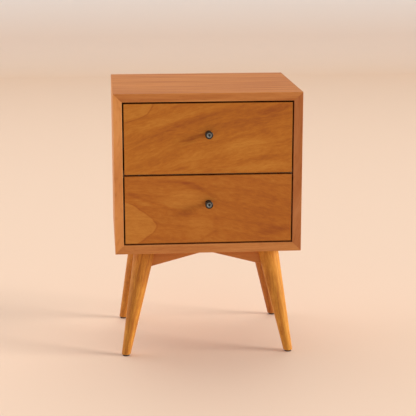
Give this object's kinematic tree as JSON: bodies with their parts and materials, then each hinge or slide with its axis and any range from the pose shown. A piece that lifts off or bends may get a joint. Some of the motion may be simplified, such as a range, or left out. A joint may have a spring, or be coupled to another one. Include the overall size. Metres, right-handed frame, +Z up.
{
  "type": "nightstand with drawers",
  "caption": "Bedside nightstand: a mitred wooden case with inset drawers on telescopic slides, standing on splayed, tapered round legs joined by arched aprons.",
  "frame": {"origin": "on the floor, under the middle of the whole nightstand with its knobs", "axes": "+Z up, -Y towards the person who opens the drawers, +X to the right as seen from the front"},
  "size_m": [0.457, 0.399, 0.667],
  "materials": {
    "case_veneer": "satin honey-brown stained veneer, straight fine grain",
    "drawer_veneer": "satin honey-brown stained veneer with a soft arched figure",
    "leg_wood": "satin honey-brown stained solid wood, grain along the leg",
    "apron_wood": "satin honey-brown stained solid wood",
    "back_board": "plain stained plywood, matt",
    "plain_beech": "bare beech",
    "box_wood": "clear-lacquered light wood",
    "knob_metal": "dark antique pewter, satin",
    "slide_steel": "black zinc-plated steel",
    "screw_steel": "zinc-plated steel",
    "glide_plastic": "dark brown plastic",
    "bumper_rubber": "pale soft rubber"
  },
  "bodies": {
    "cabinet": {"top_panel": "case_veneer", "bottom_panel": "case_veneer", "left_side_panel": "case_veneer", "right_side_panel": "case_veneer", "back_panel": "back_board", "mitre_splines": "plain_beech", "divider_rail": "box_wood", "rail_dowels": "plain_beech", "drawer_bumpers": "bumper_rubber", "back_screws": "screw_steel", "front_apron": "apron_wood", "rear_apron": "apron_wood", "left_apron": "apron_wood", "right_apron": "apron_wood", "front_left_leg": "leg_wood", "front_right_leg": "leg_wood", "rear_left_leg": "leg_wood", "rear_right_leg": "leg_wood", "glides": "glide_plastic", "corner_blocks": "box_wood", "apron_dowels": "plain_beech", "block_screws": "screw_steel", "upper_left_cabinet_member": "slide_steel", "upper_right_cabinet_member": "slide_steel", "lower_left_cabinet_member": "slide_steel", "lower_right_cabinet_member": "slide_steel", "cabinet_slide_screws": "screw_steel"},
    "upper_drawer": {"upper_drawer_front": "drawer_veneer", "upper_box_front": "box_wood", "upper_box_left_side": "box_wood", "upper_box_right_side": "box_wood", "upper_box_back": "box_wood", "upper_box_bottom": "box_wood", "upper_knob": "knob_metal", "upper_knob_screw": "screw_steel", "upper_front_screws": "screw_steel", "upper_left_drawer_member": "slide_steel", "upper_right_drawer_member": "slide_steel", "upper_slide_screws": "screw_steel"},
    "upper_middle_members": {"upper_left_middle_member": "slide_steel", "upper_right_middle_member": "slide_steel"},
    "upper_outer_cages": {"upper_outer_ball_cages": "slide_steel"},
    "upper_inner_cages": {"upper_inner_ball_cages": "slide_steel"},
    "lower_drawer": {"lower_drawer_front": "drawer_veneer", "lower_box_front": "box_wood", "lower_box_left_side": "box_wood", "lower_box_right_side": "box_wood", "lower_box_back": "box_wood", "lower_box_bottom": "box_wood", "lower_knob": "knob_metal", "lower_knob_screw": "screw_steel", "lower_front_screws": "screw_steel", "lower_left_drawer_member": "slide_steel", "lower_right_drawer_member": "slide_steel", "lower_slide_screws": "screw_steel"},
    "lower_middle_members": {"lower_left_middle_member": "slide_steel", "lower_right_middle_member": "slide_steel"},
    "lower_outer_cages": {"lower_outer_ball_cages": "slide_steel"},
    "lower_inner_cages": {"lower_inner_ball_cages": "slide_steel"}
  },
  "joints": [
    {"name": "upper_drawer_slide", "type": "slide", "parent": "cabinet", "child": "upper_drawer", "axis": [0, -1, 0], "range_m": [0, 0.28]},
    {"name": "upper_middle_slide", "type": "slide", "parent": "cabinet", "child": "upper_middle_members", "axis": [0, -1, 0], "range_m": [0, 0.14]},
    {"name": "upper_outer_cage_roll", "type": "slide", "parent": "cabinet", "child": "upper_outer_cages", "axis": [0, -1, 0], "range_m": [0, 0.07]},
    {"name": "upper_inner_cage_roll", "type": "slide", "parent": "cabinet", "child": "upper_inner_cages", "axis": [0, -1, 0], "range_m": [0, 0.21]},
    {"name": "lower_drawer_slide", "type": "slide", "parent": "cabinet", "child": "lower_drawer", "axis": [0, -1, 0], "range_m": [0, 0.28]},
    {"name": "lower_middle_slide", "type": "slide", "parent": "cabinet", "child": "lower_middle_members", "axis": [0, -1, 0], "range_m": [0, 0.14]},
    {"name": "lower_outer_cage_roll", "type": "slide", "parent": "cabinet", "child": "lower_outer_cages", "axis": [0, -1, 0], "range_m": [0, 0.07]},
    {"name": "lower_inner_cage_roll", "type": "slide", "parent": "cabinet", "child": "lower_inner_cages", "axis": [0, -1, 0], "range_m": [0, 0.21]}
  ],
  "couplings": [
    {"joint": "upper_middle_slide", "follows": "upper_drawer_slide", "ratio": 0.5},
    {"joint": "upper_outer_cage_roll", "follows": "upper_drawer_slide", "ratio": 0.25},
    {"joint": "upper_inner_cage_roll", "follows": "upper_drawer_slide", "ratio": 0.75},
    {"joint": "lower_middle_slide", "follows": "lower_drawer_slide", "ratio": 0.5},
    {"joint": "lower_outer_cage_roll", "follows": "lower_drawer_slide", "ratio": 0.25},
    {"joint": "lower_inner_cage_roll", "follows": "lower_drawer_slide", "ratio": 0.75}
  ]
}
